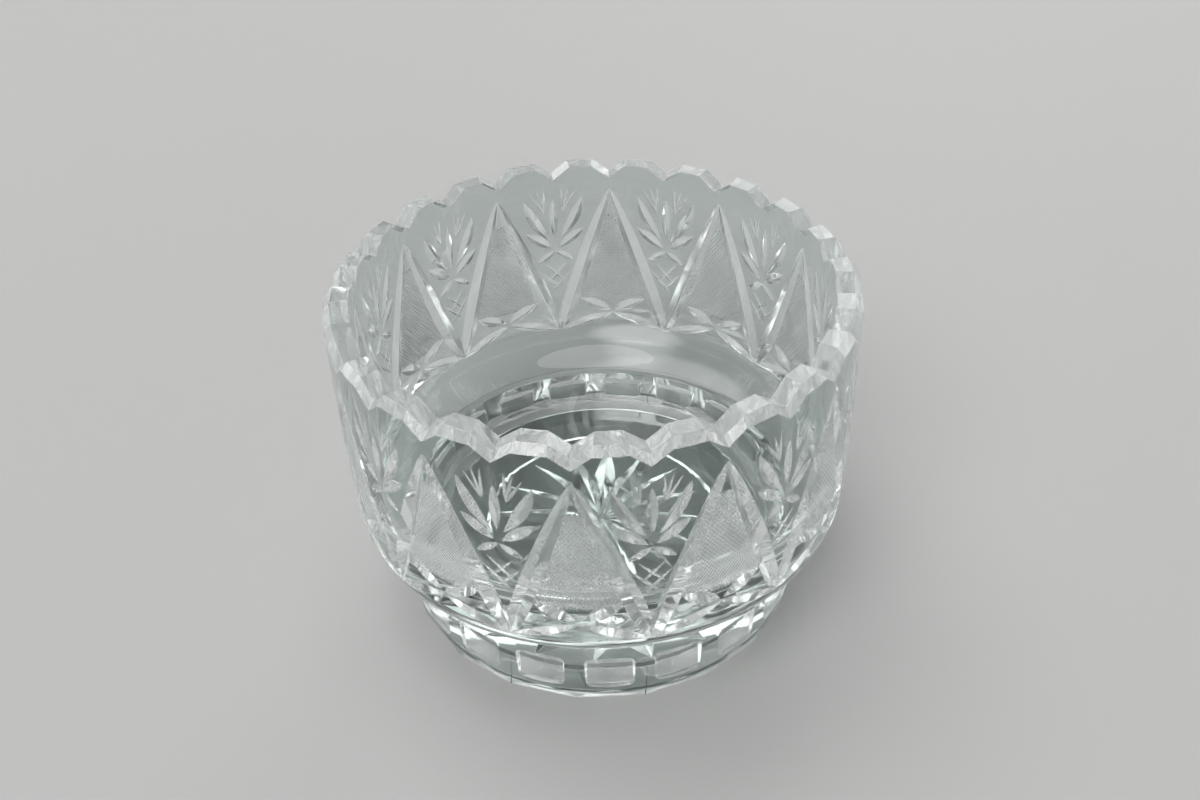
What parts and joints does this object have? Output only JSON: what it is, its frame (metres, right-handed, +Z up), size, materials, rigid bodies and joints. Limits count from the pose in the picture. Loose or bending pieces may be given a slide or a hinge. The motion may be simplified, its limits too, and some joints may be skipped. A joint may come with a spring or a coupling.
{
  "type": "cut crystal bowl",
  "caption": "Heavy clear cut glass bowl with a scalloped rim, a wall of triangle and palm mitre cuts, and a thick foot with sunk panels.",
  "frame": {"origin": "middle of the ring that the foot stands on, at table height", "axes": "+Z up through the middle of the bowl; +Y through the tip of one tall triangle cut in the wall"},
  "size_m": [0.19, 0.19, 0.133],
  "materials": {
    "crystal": "polished clear crystal, mitre cuts polished, fine cross-hatching left satin",
    "foot_crystal": "polished clear crystal, standing ring ground flat"
  },
  "bodies": {
    "root": {"bowl": "crystal", "foot": "foot_crystal"}
  },
  "joints": []
}
